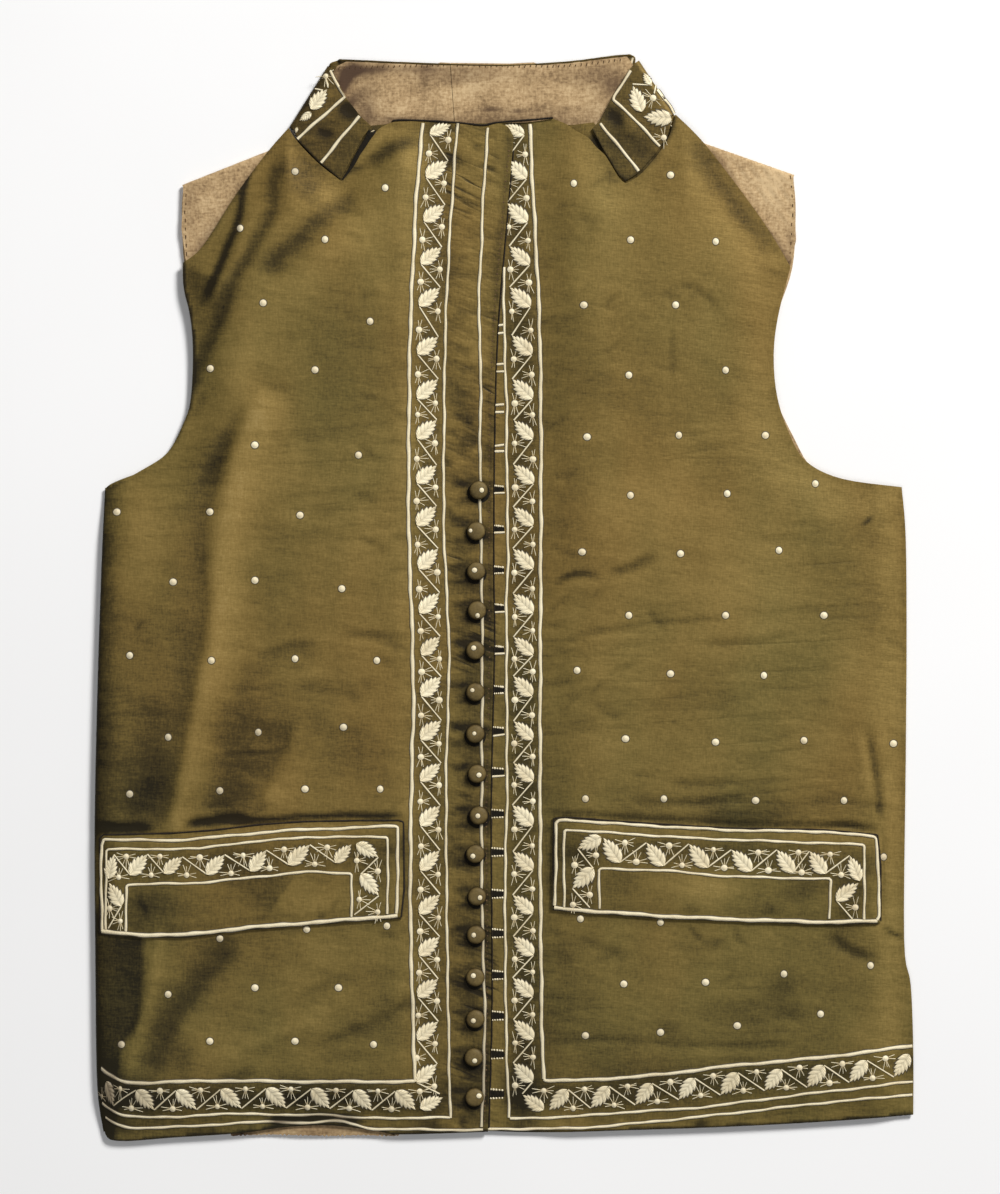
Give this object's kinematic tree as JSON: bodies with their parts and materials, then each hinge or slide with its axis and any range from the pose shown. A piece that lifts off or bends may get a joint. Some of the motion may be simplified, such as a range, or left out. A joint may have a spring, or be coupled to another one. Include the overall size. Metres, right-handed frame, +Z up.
{
  "type": "embroidered waistcoat laid flat",
  "caption": "Sleeveless silk waistcoat with a standing collar, embroidered borders, welt pockets and covered buttons down the front, laid flat on its linen back.",
  "frame": {"origin": "middle of the waistcoat's length and width, on the surface that its back lies on", "axes": "+Y from the hem to the collar, +X towards the wearer's left, +Z up out of the front"},
  "size_m": [0.4916, 0.6526, 0.0148],
  "materials": {
    "silk": "olive shot-silk taffeta, soft sheen, embroidered in cream silk",
    "linen": "plain-woven beige linen, matt, with brown stains",
    "button_silk": "olive silk over a domed mould, with a cream embroidered dot"
  },
  "bodies": {
    "root": {"right_front": "silk", "left_front": "silk", "collar": "silk", "right_pocket_welt": "silk", "left_pocket_welt": "silk", "back": "linen", "collar_lining_right": "linen", "collar_lining_left": "linen", "right_front_lining": "linen", "button_01": "button_silk", "button_02": "button_silk", "button_03": "button_silk", "button_04": "button_silk", "button_05": "button_silk", "button_06": "button_silk", "button_07": "button_silk", "button_08": "button_silk", "button_09": "button_silk", "button_10": "button_silk", "button_11": "button_silk", "button_12": "button_silk", "button_13": "button_silk", "button_14": "button_silk", "button_15": "button_silk", "button_16": "button_silk"}
  },
  "joints": []
}
